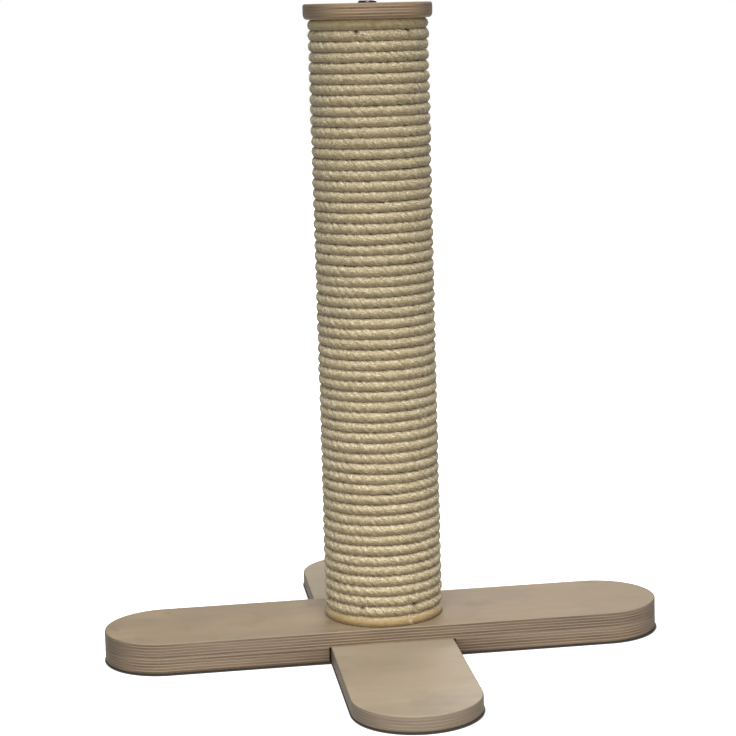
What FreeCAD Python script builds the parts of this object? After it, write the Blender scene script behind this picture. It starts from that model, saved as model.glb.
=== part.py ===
# Cat scratching post: two crossed plywood boards carry an upright post of
# cardboard tube wound with sisal rope, closed by a plywood disc.
#
# Frame: the post stands on the Z axis, +Z is up, the long board lies along X,
# the cross board along Y under it, and the floor is the plane Z = 0.

import FreeCAD, Part
import math
import os
import Sketcher

# Driving dimensions in millimetres; counts are plain numbers.
SIZES = {
    "board_length": 550.0,
    "board_width": 120.0,
    "board_thickness": 15.0,
    "board_arris": 1.5,
    "packer_gap": 2.0,
    "cap_diameter": 124.0,
    "cap_thickness": 15.0,
    "cap_arris": 2.0,
    "post_length": 584.0,
    "core_diameter": 96.0,
    "core_wall": 4.0,
    "plug_length": 30.0,
    "rope_diameter": 9.6,
    "rope_spacing": 0.45,
    "rope_facets": 5,
    "formed_levels": 4,
    "sleeve_inset": 0.6,
    "rest_gap": 0.3,
    "slip_fit": 0.2,
    "bolt_diameter": 8.0,
    "bolt_head_diameter": 18.0,
    "bolt_head_height": 2.5,
    "bolt_head_bevel": 1.0,
    "bolt_overrun": 2.0,
    "socket_flats": 5.0,
    "socket_depth": 2.0,
    "counterbore_diameter": 20.0,
    "head_recess": 1.5,
    "flange_diameter": 22.0,
    "flange_thickness": 1.5,
    "barrel_diameter": 10.0,
    "barrel_length": 9.0,
    "prong_reach": 7.0,
    "prong_width": 3.0,
    "prong_thickness": 1.2,
    "prong_circle": 17.0,
    "screw_diameter": 4.0,
    "screw_head_diameter": 8.0,
    "screw_length": 25.0,
    "screw_point": 5.0,
    "screw_tip_diameter": 0.5,
    "screw_facets": 8,
    "packer_screw_inset": 28.0,
    "packer_screw_end_inset": 42.0,
    "packer_screw_spread": 64.0,
    "cross_screw_spread": 80.0,
    "staple_wire": 1.2,
    "staple_crown": 12.0,
    "plug_staple_leg": 14.0,
    "rope_staple_leg": 22.0,
    "staple_sink": 3.0,
}

# The rope turns lie level over half a turn, from this angle on, and climb one
# pitch over the other half, at the back of the post.
LEVEL_START = 175.0
# Angles of the staples about the post, in degrees from +X: those in the plugs,
# those over the rope's two ends, and those across its second turn from each end.
PLUG_STAPLE_ANGLES = (47.5, 137.5, 227.5, 317.5)
LOWER_END_ANGLE = 169.5
UPPER_END_ANGLE = 0.5
LOWER_TURN_ANGLES = (185.5, 240.5, 295.5, 350.5)
UPPER_TURN_ANGLES = (198.0, 251.0, 305.0, 359.0)

# The rough size that a sketch's lines and circles start from.
ROUGH_RADIUS = 10.0
# An edge this near to a height, in mm, lies at that height.
LEVEL_TOLERANCE = 1e-6
# The rope's nearness to itself is sought this many mm apart along it, from points
# this many diameters on to points this many turns of the core on.
GAP_STEP = 2.0
GAP_SKIP = 3
GAP_REACH = 1.3
# A bevel that takes more than this share of a solid has gone wrong.
MOST_BEVELLED = 0.05

doc = FreeCAD.newDocument("scratching_post")
sheet = doc.addObject("Spreadsheet::Sheet", "sizes")
for row, (alias, number) in enumerate(SIZES.items(), start=1):
    sheet.set("A%d" % row, alias)
    sheet.set("B%d" % row, str(number))
    sheet.setAlias("B%d" % row, alias)
doc.recompute()


def size(alias):
    """The number in the sheet's cell with this alias."""
    return float(sheet.get(alias))


# ---------------------------------------------------------------- helpers

def origin_plane(body, role):
    """One of the body's own origin planes, such as XY_Plane."""
    for feature in body.Origin.OriginFeatures:
        if feature.Role == role:
            return feature
    raise ValueError("no plane " + role)


def new_body(label):
    """An empty PartDesign body with this label."""
    body = doc.addObject("PartDesign::Body", label)
    body.Label = label
    return body


def place(piece, x=None, y=None, z=None, turn=0.0):
    """Places a piece by formulas for its origin and a turn about Z."""
    piece.Placement = FreeCAD.Placement(
        FreeCAD.Vector(0, 0, 0), FreeCAD.Rotation(FreeCAD.Vector(0, 0, 1), turn))
    for axis, formula in (("x", x), ("y", y), ("z", z)):
        if formula is not None:
            piece.setExpression("Placement.Base." + axis, formula)


def new_sketch(body, role, height=None):
    """A sketch on one of the body's planes, raised by a formula."""
    sketch = body.newObject("Sketcher::SketchObject", "Sketch")
    sketch.AttachmentSupport = [(origin_plane(body, role), "")]
    sketch.MapMode = "FlatFace"
    if height is not None:
        sketch.setExpression("AttachmentOffset.Base.z", height)
    return sketch


def add_measure(sketch, constraint, formula):
    """Adds a dimension to the sketch and binds it to a formula."""
    index = sketch.addConstraint(constraint)
    sketch.setExpression("Constraints[%d]" % index, formula)


def draw_circle(sketch, diameter):
    """A circle of a bound diameter about the sketch's origin."""
    circle = sketch.addGeometry(
        Part.Circle(FreeCAD.Vector(0, 0, 0), FreeCAD.Vector(0, 0, 1), ROUGH_RADIUS))
    sketch.addConstraint(Sketcher.Constraint("Coincident", circle, 3, -1, 1))
    add_measure(sketch, Sketcher.Constraint("Diameter", circle, 2 * ROUGH_RADIUS), diameter)


def draw_outline(sketch, corners):
    """A closed outline of straight lines through corners given as formulas.

    The lines start out as an even polygon, which the formulas then pull into place.
    """
    count = len(corners)
    rough = [
        FreeCAD.Vector(ROUGH_RADIUS * (2 + math.cos(2 * math.pi * index / count)),
                       ROUGH_RADIUS * (2 + math.sin(2 * math.pi * index / count)), 0)
        for index in range(count)]
    for index in range(count):
        sketch.addGeometry(Part.LineSegment(rough[index], rough[(index + 1) % count]))
    for index, (x, y) in enumerate(corners):
        following = (index + 1) % count
        sketch.addConstraint(Sketcher.Constraint("Coincident", index, 2, following, 1))
        add_measure(sketch, Sketcher.Constraint("DistanceX", -1, 1, index, 1, ROUGH_RADIUS), x)
        add_measure(sketch, Sketcher.Constraint("DistanceY", -1, 1, index, 1, ROUGH_RADIUS), y)


def pad(body, sketch, length):
    """Pads a sketch upwards by a bound length."""
    feature = body.newObject("PartDesign::Pad", "Pad")
    feature.Profile = sketch
    feature.setExpression("Length", length)
    return feature


def pocket(body, sketch, depth):
    """Cuts a sketch downwards by a bound depth and proves that it cut."""
    doc.recompute()
    before = body.Shape.Volume
    feature = body.newObject("PartDesign::Pocket", "Pocket")
    feature.Profile = sketch
    feature.setExpression("Length", depth)
    doc.recompute()
    if body.Shape.Volume >= before:
        raise RuntimeError("a pocket of %s cut nothing" % body.Label)
    return feature


def revolve(body, sketch):
    """Turns a half profile about the body's upright axis."""
    feature = body.newObject("PartDesign::Revolution", "Revolution")
    feature.Profile = sketch
    feature.ReferenceAxis = (sketch, ["V_Axis"])
    feature.Angle = 360.0


def polar(body, feature, count):
    """Repeats a feature evenly about the body's Z axis."""
    pattern = body.newObject("PartDesign::PolarPattern", "PolarPattern")
    pattern.Originals = [feature]
    for axis in body.Origin.OriginFeatures:
        if axis.Role == "Z_Axis":
            pattern.Axis = (axis, [""])
    pattern.Angle = 360.0
    pattern.Occurrences = count
    body.Tip = pattern


def level_edges(shape, heights):
    """Names of the edges that lie level at one of these heights."""
    names = []
    for index, edge in enumerate(shape.Edges, start=1):
        box = edge.BoundBox
        if any(abs(box.ZMin - z) < LEVEL_TOLERANCE and abs(box.ZMax - z) < LEVEL_TOLERANCE
               for z in heights):
            names.append("Edge%d" % index)
    return names


def bevel(body, feature, width, heights):
    """Bevels a slab's edges at the given heights and proves that little went."""
    doc.recompute()
    eased = body.newObject("PartDesign::Chamfer", "Chamfer")
    eased.Base = (feature, level_edges(feature.Shape, heights))
    eased.setExpression("Size", width)
    body.Tip = eased
    doc.recompute()
    lost = feature.Shape.Volume - eased.Shape.Volume
    if not 0 < lost < MOST_BEVELLED * feature.Shape.Volume:
        raise RuntimeError("the arris of %s took away %.1f mm3" % (body.Label, lost))


# ---------------------------------------------------------------- boards

def draw_stadium(sketch, length, width):
    """A long outline with two half-round ends, along X, about the origin."""
    radius = size("board_width") / 2
    half = size("board_length") / 2 - radius
    line = FreeCAD.Vector
    sketch.addGeometry(Part.LineSegment(line(-half, -radius, 0), line(half, -radius, 0)))
    sketch.addGeometry(Part.ArcOfCircle(
        Part.Circle(line(half, 0, 0), line(0, 0, 1), radius), -math.pi / 2, math.pi / 2))
    sketch.addGeometry(Part.LineSegment(line(half, radius, 0), line(-half, radius, 0)))
    sketch.addGeometry(Part.ArcOfCircle(
        Part.Circle(line(-half, 0, 0), line(0, 0, 1), radius), math.pi / 2, 3 * math.pi / 2))
    for first in range(4):
        second = (first + 1) % 4
        sketch.addConstraint(Sketcher.Constraint("Tangent", first, 2, second, 1))
    sketch.addConstraint(Sketcher.Constraint("PointOnObject", 1, 3, -1))
    sketch.addConstraint(Sketcher.Constraint("Symmetric", 1, 3, 3, 3, -1, 1))
    add_measure(sketch, Sketcher.Constraint("Diameter", 1, 2 * radius), width)
    add_measure(sketch, Sketcher.Constraint("DistanceX", 3, 3, 1, 3, 2 * half),
                "%s - %s" % (length, width))


def stadium_board(label, heights):
    """A plywood board with half-round ends, its arrises broken at these heights."""
    body = new_body(label)
    sketch = new_sketch(body, "XY_Plane")
    draw_stadium(sketch, "sizes.board_length", "sizes.board_width")
    slab = pad(body, sketch, "sizes.board_thickness")
    bevel(body, slab, "sizes.board_arris", heights)
    return body


def round_hole(body, diameter, start, depth):
    """A round hole on the body's axis, bored downwards from a bound height."""
    sketch = new_sketch(body, "XY_Plane", start)
    draw_circle(sketch, diameter)
    pocket(body, sketch, depth)


def group(label, pieces):
    """Several like solids that share one named sub-part."""
    compound = doc.addObject("Part::Compound", label)
    compound.Label = label
    compound.Links = pieces
    return compound


def drilled(label, piece, holes):
    """A piece with holes cut through it by enlarged copies of its fasteners."""
    cut = doc.addObject("Part::Cut", label)
    cut.Label = label
    cut.Base = piece
    cut.Tool = holes[0] if len(holes) == 1 else group(label + "_holes", holes)
    return cut


def faceted_pin(rings, facets):
    """A solid of flat faces through many-sided rings of a height and radius."""
    loops = []
    for height, radius in rings:
        angles = [2 * math.pi * number / facets for number in range(facets)]
        loops.append([
            FreeCAD.Vector(radius * math.cos(at), radius * math.sin(at), height) for at in angles])
    faces = []
    for end in (loops[0], loops[-1]):
        faces.append(Part.Face(Part.makePolygon(end + end[:1])))
    for low, high in zip(loops, loops[1:]):
        for number in range(facets):
            following = (number + 1) % facets
            corners = [low[number], low[following], high[following], high[number]]
            faces.append(Part.Face(Part.makePolygon(corners + corners[:1])))
    return Part.makeSolid(Part.makeShell(faces))


def screws(label, places):
    """Countersunk wood screws driven up from below, and their clearance holes.

    They are many-sided, to keep these small pieces light.
    """
    fit = size("slip_fit")
    head = size("screw_head_diameter") / 2
    shank = size("screw_diameter") / 2
    tip = size("screw_tip_diameter") / 2
    length = size("screw_length")
    facets = int(size("screw_facets"))
    under_head = fit + head - shank
    pin = faceted_pin((
        (fit, head), (under_head, shank), (fit + length - size("screw_point"), shank),
        (fit + length, tip)), facets)
    bore = faceted_pin((
        (-fit, head + fit), (fit, head + fit), (under_head, shank + fit),
        (length + 2 * fit, shank + fit)), facets)
    made = []
    for name, shape in ((label, pin), (label + "_bores", bore)):
        piece = doc.addObject("Part::Feature", name)
        piece.Label = name
        piece.Shape = Part.makeCompound([
            shape.translated(FreeCAD.Vector(x, y, 0)) for x, y in places])
        made.append(piece)
    return made


near = size("board_width") / 2 + size("packer_gap") + size("packer_screw_inset")
far = size("board_length") / 2 - size("packer_screw_end_inset")
side = size("packer_screw_spread") / 2
spread = size("cross_screw_spread") / 2
right_screws, right_bores = screws(
    "right_packer_screws", ((near, side), (near, -side), (far, 0.0)))
left_screws, left_bores = screws(
    "left_packer_screws", ((-near, side), (-near, -side), (-far, 0.0)))
cross_screws, cross_bores = screws(
    "cross_board_screws", ((spread, spread), (-spread, spread), (-spread, -spread), (spread, -spread)))

THICKNESS = "sizes.board_thickness"
BOLT_HOLE = "(sizes.bolt_diameter + 2 * sizes.slip_fit)"
PACKER_START = "(sizes.board_width / 2 + sizes.packer_gap)"
under_face = 0.0
upper_face = size("board_thickness")

long_blank = stadium_board("long_board_blank", [upper_face])
round_hole(long_blank, BOLT_HOLE, THICKNESS, THICKNESS)
place(long_blank, z=THICKNESS)
long_board = drilled("long_board", long_blank, [right_bores, left_bores, cross_bores])

HEAD_SEAT = "(sizes.head_recess + sizes.bolt_head_height)"
cross_blank = stadium_board("cross_board_blank", [under_face, upper_face])
round_hole(cross_blank, BOLT_HOLE, THICKNESS, THICKNESS)
round_hole(cross_blank, "sizes.counterbore_diameter", HEAD_SEAT, HEAD_SEAT)
place(cross_blank, turn=90.0)
cross_board = drilled("cross_board", cross_blank, [cross_bores])


def packer(label, turn, bores):
    """A D-shaped packer: the end of such a board, sawn off square."""
    body = stadium_board(label + "_blank", [under_face])
    waste = new_sketch(body, "XY_Plane", THICKNESS)
    side = "sizes.board_width"
    draw_outline(waste, (
        ("-sizes.board_length", "-" + side), (PACKER_START, "-" + side),
        (PACKER_START, side), ("-sizes.board_length", side)))
    pocket(body, waste, THICKNESS)
    place(body, turn=turn)
    return drilled(label, body, [bores])


right_packer = packer("right_packer", 0.0, right_bores)
left_packer = packer("left_packer", 180.0, left_bores)


# ---------------------------------------------------------------- cap and bolts

POST_FOOT = "(2 * sizes.board_thickness)"
POST_HEAD = "(%s + sizes.post_length)" % POST_FOOT

cap_disc = new_body("cap_disc")
cap_sketch = new_sketch(cap_disc, "XY_Plane")
draw_circle(cap_sketch, "sizes.cap_diameter")
cap_slab = pad(cap_disc, cap_sketch, "sizes.cap_thickness")
bevel(cap_disc, cap_slab, "sizes.cap_arris", [0.0, size("cap_thickness")])
round_hole(cap_disc, BOLT_HOLE, "sizes.cap_thickness", "sizes.cap_thickness")
place(cap_disc, z=POST_HEAD)


def bolt(label, grip):
    """A flat-headed bolt with a hexagon socket, head up, seat at Z = 0."""
    body = new_body(label)
    tip = "-(%s + sizes.bolt_overrun)" % grip
    shank = "sizes.bolt_diameter / 2"
    head = "sizes.bolt_head_diameter / 2"
    sketch = new_sketch(body, "XZ_Plane")
    draw_outline(sketch, (
        ("0", tip),
        (shank, tip),
        (shank, "0"),
        (head, "0"),
        (head, "sizes.bolt_head_height - sizes.bolt_head_bevel"),
        (head + " - sizes.bolt_head_bevel", "sizes.bolt_head_height"),
        ("0", "sizes.bolt_head_height")))
    revolve(body, sketch)
    socket = new_sketch(body, "XY_Plane", "sizes.bolt_head_height")
    corner = "sizes.socket_flats / 2 / cos(30 deg)"
    draw_outline(socket, [
        ("%s * cos(%d deg)" % (corner, angle), "%s * sin(%d deg)" % (corner, angle))
        for angle in range(0, 360, 60)])
    pocket(body, socket, "sizes.socket_depth")
    return body


NUT_GRIP = "(sizes.plug_length + sizes.flange_thickness)"
cap_bolt = bolt("cap_bolt", "(sizes.cap_thickness + %s)" % NUT_GRIP)
place(cap_bolt, z="%s + sizes.cap_thickness" % POST_HEAD)

base_bolt = bolt("base_bolt", "(%s - %s + %s)" % (POST_FOOT, HEAD_SEAT, NUT_GRIP))
base_bolt.Placement = FreeCAD.Placement(
    FreeCAD.Vector(0, 0, 0), FreeCAD.Rotation(FreeCAD.Vector(1, 0, 0), 180.0))
base_bolt.setExpression("Placement.Base.z", HEAD_SEAT)


# ---------------------------------------------------------------- nuts, plugs, core

BARREL_HOLE = "(sizes.barrel_diameter + 2 * sizes.slip_fit)"


def tee_nut(name):
    """A pronged nut, its flange on Z = 0 and its barrel and prongs below."""
    body = new_body(name)
    bore = "sizes.bolt_diameter / 2 + sizes.slip_fit / 2"
    sketch = new_sketch(body, "XZ_Plane")
    draw_outline(sketch, (
        (bore, "-sizes.barrel_length"),
        ("sizes.barrel_diameter / 2", "-sizes.barrel_length"),
        ("sizes.barrel_diameter / 2", "0"),
        ("sizes.flange_diameter / 2", "0"),
        ("sizes.flange_diameter / 2", "sizes.flange_thickness"),
        (bore, "sizes.flange_thickness")))
    revolve(body, sketch)
    spike = new_sketch(body, "XZ_Plane", "-sizes.prong_thickness / 2")
    draw_outline(spike, (
        ("sizes.prong_circle / 2 - sizes.prong_width / 2", "sizes.flange_thickness / 2"),
        ("sizes.prong_circle / 2", "-sizes.prong_reach"),
        ("sizes.prong_circle / 2 + sizes.prong_width / 2", "sizes.flange_thickness / 2")))
    prong = pad(body, spike, "sizes.prong_thickness")
    polar(body, prong, 4)
    return body


def plug(label):
    """A round wooden plug, its seat for the nut on top at the plug's length."""
    body = new_body(label)
    sketch = new_sketch(body, "XY_Plane")
    draw_circle(sketch, "sizes.core_diameter - 2 * sizes.core_wall - 2 * sizes.slip_fit")
    pad(body, sketch, "sizes.plug_length")
    round_hole(body, BOLT_HOLE, "sizes.plug_length", "sizes.plug_length")
    round_hole(body, BARREL_HOLE, "sizes.plug_length", "sizes.barrel_length + sizes.slip_fit")
    slot = new_sketch(body, "XY_Plane", "sizes.plug_length")
    inner = "(sizes.prong_circle / 2 - sizes.prong_width / 2 - sizes.slip_fit)"
    outer = "(sizes.prong_circle / 2 + sizes.prong_width / 2 + sizes.slip_fit)"
    side = "(sizes.prong_thickness / 2 + sizes.slip_fit)"
    draw_outline(slot, ((inner, "-" + side), (outer, "-" + side), (outer, side), (inner, side)))
    cut = pocket(body, slot, "sizes.prong_reach + sizes.slip_fit")
    polar(body, cut, 4)
    return body


def staple(name, bore, crown, leg, radius, height, angle, upright):
    """One wire staple about the post, its legs driven in square to the post.

    The outer face of the crown lies at the radius. With a bore, every face is
    moved out by the slip fit, which makes the staple's own hole.
    """
    ease_by = "sizes.slip_fit" if bore else "0"
    wire = "(sizes.staple_wire + 2 * %s)" % ease_by
    width = "(%s + 2 * %s)" % (crown, ease_by)
    reach = "(%s + 2 * %s)" % (leg, ease_by)
    bars = []
    for bar, length, depth, start in (
            ("crown", width, wire, "-%s / 2" % width),
            ("first", wire, reach, "-%s / 2" % width),
            ("second", wire, reach, "%s / 2 - %s" % (width, wire))):
        box = doc.addObject("Part::Box", "%s_%s" % (name, bar))
        box.setExpression("Length", length)
        box.setExpression("Width", wire)
        box.setExpression("Height", depth)
        box.setExpression("Placement.Base.x", start)
        box.setExpression("Placement.Base.y", "-%s / 2" % wire)
        box.setExpression("Placement.Base.z", "%s - %s" % (ease_by, depth))
        bars.append(box)
    wire_shape = doc.addObject("Part::MultiFuse", name)
    wire_shape.Shapes = bars
    turn = math.radians(angle)
    outward = FreeCAD.Vector(math.cos(turn), math.sin(turn), 0)
    along = FreeCAD.Vector(0, 0, 1) if upright else FreeCAD.Vector(-math.sin(turn), math.cos(turn), 0)
    wire_shape.Placement = FreeCAD.Placement(
        FreeCAD.Vector(0, 0, 0), FreeCAD.Rotation(along, outward.cross(along), outward, "ZXY"))
    wire_shape.setExpression("Placement.Base.x", "%s * cos(%s deg)" % (radius, angle))
    wire_shape.setExpression("Placement.Base.y", "%s * sin(%s deg)" % (radius, angle))
    wire_shape.setExpression("Placement.Base.z", height)
    return wire_shape


CREST = "(sizes.core_diameter / 2 + sizes.rest_gap + sizes.rope_diameter)"
FIRST_LEVEL = "(%s + sizes.rest_gap + sizes.rope_diameter / 2)" % POST_FOOT
LAST_LEVEL = "(%s - sizes.rest_gap - sizes.rope_diameter / 2)" % POST_HEAD
TURN_COUNT = "(floor((%s - %s) / (sizes.rope_diameter + sizes.rope_spacing)) + 1)" % (
    LAST_LEVEL, FIRST_LEVEL)
PITCH = "((%s - %s) / (%s - 1))" % (LAST_LEVEL, FIRST_LEVEL, TURN_COUNT)


def staples(label, places):
    """A group of staples, and the same group enlarged to cut their holes."""
    solid = []
    hole = []
    for number, place_of_one in enumerate(places, 1):
        name = "%s_%d" % (label, number)
        solid.append(staple(name, False, *place_of_one))
        hole.append(staple(name + "_hole", True, *place_of_one))
    return group(label, solid), group(label + "_bores", hole)


CORE_FACE = "(sizes.core_diameter / 2 - sizes.slip_fit)"
CREST_FACE = "(%s + sizes.staple_wire)" % CREST
PRESSED_FACE = "(%s - sizes.staple_sink)" % CREST


def plug_staples(label, height):
    """Upright staples through the tube into a plug."""
    return staples(label, [
        ("sizes.staple_crown", "sizes.plug_staple_leg", CORE_FACE, height, angle, True)
        for angle in PLUG_STAPLE_ANGLES])


def rope_staples(label, end_level, end_angle, turn_level, turn_angles):
    """One staple along the rope's end, and upright ones pulled in over the next turn.

    Those stand with their legs in the grooves on both sides of the turn.
    """
    places = [("sizes.staple_crown", "sizes.rope_staple_leg", CREST_FACE, end_level, end_angle, False)]
    for angle in turn_angles:
        places.append((
            "(%s + sizes.staple_wire)" % PITCH, "sizes.rope_staple_leg", PRESSED_FACE,
            turn_level, angle, True))
    return staples(label, places)


bottom_staples, bottom_holes = plug_staples(
    "bottom_plug_staples", "%s + sizes.plug_length / 2" % POST_FOOT)
top_staples, top_holes = plug_staples(
    "top_plug_staples", "%s - sizes.plug_length / 2" % POST_HEAD)
lower_staples, lower_holes = rope_staples(
    "lower_rope_staples", FIRST_LEVEL, LOWER_END_ANGLE,
    "%s + %s" % (FIRST_LEVEL, PITCH), LOWER_TURN_ANGLES)
upper_staples, upper_holes = rope_staples(
    "upper_rope_staples", LAST_LEVEL, UPPER_END_ANGLE,
    "%s - %s" % (LAST_LEVEL, PITCH), UPPER_TURN_ANGLES)


bottom_nut = tee_nut("bottom_nut")
place(bottom_nut, z="%s + sizes.plug_length" % POST_FOOT)
top_nut = tee_nut("top_nut")
top_nut.Placement = FreeCAD.Placement(
    FreeCAD.Vector(0, 0, 0), FreeCAD.Rotation(FreeCAD.Vector(1, 0, 0), 180.0))
top_nut.setExpression("Placement.Base.z", "%s - sizes.plug_length" % POST_HEAD)
tee_nuts = group("tee_nuts", [bottom_nut, top_nut])

bottom_blank = plug("bottom_plug_blank")
place(bottom_blank, z=POST_FOOT)
top_blank = plug("top_plug_blank")
top_blank.Placement = FreeCAD.Placement(
    FreeCAD.Vector(0, 0, 0), FreeCAD.Rotation(FreeCAD.Vector(1, 0, 0), 180.0))
top_blank.setExpression("Placement.Base.z", POST_HEAD)
bottom_plug = drilled("bottom_plug", bottom_blank, [bottom_holes, lower_holes])
top_plug = drilled("top_plug", top_blank, [top_holes, upper_holes])

tube_blank = new_body("core_tube_blank")
tube_sketch = new_sketch(tube_blank, "XY_Plane")
draw_circle(tube_sketch, "sizes.core_diameter")
draw_circle(tube_sketch, "sizes.core_diameter - 2 * sizes.core_wall")
pad(tube_blank, tube_sketch, "sizes.post_length")
place(tube_blank, z=POST_FOOT)
core_tube = drilled("core_tube", tube_blank, [bottom_holes, top_holes, lower_holes, upper_holes])


# ---------------------------------------------------------------- rope

def arc_from(start, heading, end):
    """The arc that leaves a point along a heading and ends at another point."""
    chord = end - start
    normal = heading.cross(chord)
    normal.normalize()
    inward = normal.cross(heading)
    radius = chord.dot(chord) / (2 * chord.dot(inward))
    centre = start + inward * radius
    outward = (start + end) * 0.5 - centre
    outward.normalize()
    return Part.Arc(start, centre + outward * radius, end).toShape()


def biarc(start, first, end, last):
    """Two arcs in one smooth run between two points with given headings."""
    span = end - start
    a = 2 * (first.dot(last) - 1)
    b = -2 * span.dot(first + last)
    c = span.dot(span)
    root = math.sqrt(b * b - 4 * a * c)
    reach = (-b - root) / (2 * a)
    if reach < 0:
        reach = (-b + root) / (2 * a)
    before = start + first * reach
    after = end - last * reach
    joint = (before + after) * 0.5
    heading = after - before
    heading.normalize()
    return [arc_from(start, first, joint), arc_from(joint, heading, end)]


def winding_path(radius, low, pitch, turns, tail):
    """Level half turns in front, joined by climbs of one pitch at the back."""
    angle = math.radians(LEVEL_START)
    height = low

    def point(at):
        return FreeCAD.Vector(radius * math.cos(at), radius * math.sin(at), height)

    def heading(at):
        return FreeCAD.Vector(-math.sin(at), math.cos(at), 0)

    start = point(angle)
    edges = [Part.LineSegment(start - heading(angle) * tail, start).toShape()]
    for number in range(turns):
        middle = angle + math.pi / 2
        end = angle + math.pi
        edges.append(Part.Arc(point(angle), point(middle), point(end)).toShape())
        angle = end
        if number < turns - 1:
            foot = point(angle)
            height += pitch
            edges += biarc(foot, heading(angle), point(angle + math.pi), heading(angle + math.pi))
            angle += math.pi
    end = point(angle)
    edges.append(Part.LineSegment(end, end + heading(angle) * tail).toShape())
    return Part.Wire(edges)


def cord_section(path, diameter, facets):
    """A many-sided section square to the path at its start."""
    first = path.Edges[0]
    start = first.valueAt(first.FirstParameter)
    along = first.tangentAt(first.FirstParameter)
    up = FreeCAD.Vector(0, 0, 1)
    outward = along.cross(up)
    corners = []
    for number in range(facets + 1):
        angle = 2 * math.pi * number / facets
        corners.append(start + (outward * math.cos(angle) + up * math.sin(angle)) * (diameter / 2))
    return Part.makePolygon(corners)


def wind(path, diameter, facets):
    """One unbroken cord along the path."""
    shell = Part.BRepOffsetAPI.MakePipeShell(path)
    shell.add(cord_section(path, diameter, facets))
    shell.build()
    shell.makeSolid()
    return shell.shape()


def least_gap(path, diameter):
    """The least space between the cord and itself, a turn or more apart."""
    points = path.discretize(Distance=GAP_STEP)
    apart = int(GAP_SKIP * diameter / GAP_STEP)
    turn = int(GAP_REACH * math.pi * size("core_diameter") / GAP_STEP)
    least = None
    for index, point in enumerate(points):
        for other in points[index + apart:index + turn]:
            distance = point.distanceToPoint(other)
            if least is None or distance < least:
                least = distance
    return least - diameter


rope_diameter = size("rope_diameter")
rest = size("rest_gap")
foot = 2 * size("board_thickness")
lane = size("core_diameter") / 2 + rest + rope_diameter / 2
lowest = foot + rest + rope_diameter / 2
highest = foot + size("post_length") - rest - rope_diameter / 2
turns = int((highest - lowest) / (rope_diameter + size("rope_spacing"))) + 1
pitch = (highest - lowest) / (turns - 1)
formed = int(size("formed_levels"))
facets = int(size("rope_facets"))

lower_path = winding_path(lane, lowest, pitch, formed, rope_diameter)
upper_path = winding_path(lane, highest - pitch * (formed - 1), pitch, formed, rope_diameter)
print("rope: %d turns at a pitch of %.3f mm, least gap %.3f and %.3f mm" % (
    turns, pitch, least_gap(lower_path, rope_diameter), least_gap(upper_path, rope_diameter)))
print("rope: %.1f m long as wound" % (lower_path.Length / (formed - 0.5) * (turns - 0.5) / 1000))

# Between the turns at the two ends the rope is one plain sleeve of its size.
sleeve_low = lowest + pitch * (formed - 0.5) + rest
sleeve_high = highest - pitch * (formed - 0.5) - rest
sleeve_radius = lane + rope_diameter / 2 - size("sleeve_inset")
bore_radius = size("core_diameter") / 2 + rest
centre = FreeCAD.Vector(0, 0, sleeve_low)
sleeve = Part.makeCylinder(sleeve_radius, sleeve_high - sleeve_low, centre).cut(
    Part.makeCylinder(bore_radius, sleeve_high - sleeve_low, centre))

rope_blank = doc.addObject("Part::Feature", "rope_blank")
rope_blank.Shape = Part.makeCompound([
    wind(lower_path, rope_diameter, facets), sleeve, wind(upper_path, rope_diameter, facets)])
sisal_rope = drilled("sisal_rope", rope_blank, [lower_holes, upper_holes])


# ---------------------------------------------------------------- checks and files

SUBPARTS = (
    long_board, cross_board, right_packer, left_packer,
    right_screws, left_screws, cross_screws, base_bolt,
    core_tube, bottom_plug, top_plug, bottom_staples, top_staples, tee_nuts,
    sisal_rope, lower_staples, upper_staples, cap_disc, cap_bolt)

doc.recompute()
for item in doc.Objects:
    if "Invalid" in item.State or "Error" in item.State:
        raise RuntimeError("%s failed: %s" % (item.Label, item.State))
for item in SUBPARTS:
    if item.Shape.isNull() or not item.Shape.isValid() or not item.Shape.Solids:
        raise RuntimeError("%s has no sound shape" % item.Label)

os.makedirs("parts", exist_ok=True)
for item in SUBPARTS:
    item.Shape.exportStep("parts/%s.step" % item.Label)
print("%d sub-parts written" % len(SUBPARTS))
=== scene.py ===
import math

import bpy
import numpy as np
from mathutils import Matrix, Vector


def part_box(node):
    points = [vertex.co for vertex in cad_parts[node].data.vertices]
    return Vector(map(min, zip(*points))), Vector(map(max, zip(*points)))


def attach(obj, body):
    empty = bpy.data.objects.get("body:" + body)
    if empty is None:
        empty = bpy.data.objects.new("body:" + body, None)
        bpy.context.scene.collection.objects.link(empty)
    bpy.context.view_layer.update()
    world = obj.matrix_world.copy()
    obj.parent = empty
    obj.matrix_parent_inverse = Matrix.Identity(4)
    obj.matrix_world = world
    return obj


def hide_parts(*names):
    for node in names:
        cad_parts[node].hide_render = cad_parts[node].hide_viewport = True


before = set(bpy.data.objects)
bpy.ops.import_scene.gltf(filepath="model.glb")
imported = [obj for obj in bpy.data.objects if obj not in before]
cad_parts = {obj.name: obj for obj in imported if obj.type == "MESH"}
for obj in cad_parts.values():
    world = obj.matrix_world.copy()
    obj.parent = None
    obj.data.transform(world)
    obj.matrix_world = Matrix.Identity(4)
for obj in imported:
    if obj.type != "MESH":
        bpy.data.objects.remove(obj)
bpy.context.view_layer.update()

MM = 0.001

# The post stands on the Z axis on the floor at Z = 0. Every size comes from the frame.
long_low, long_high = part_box("long_board")
cross_low, cross_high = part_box("cross_board")
cap_low, cap_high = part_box("cap_disc")
core_low, core_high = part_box("core_tube")
bolt_low, bolt_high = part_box("cap_bolt")

BOARD_HALF = long_high.x
BOARD_RADIUS = long_high.y
BOARD_THICKNESS = long_high.z - long_low.z
CAP_RADIUS = cap_high.x
CORE_RADIUS = core_high.x
FOOT = core_low.z
HEAD = core_high.z

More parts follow.
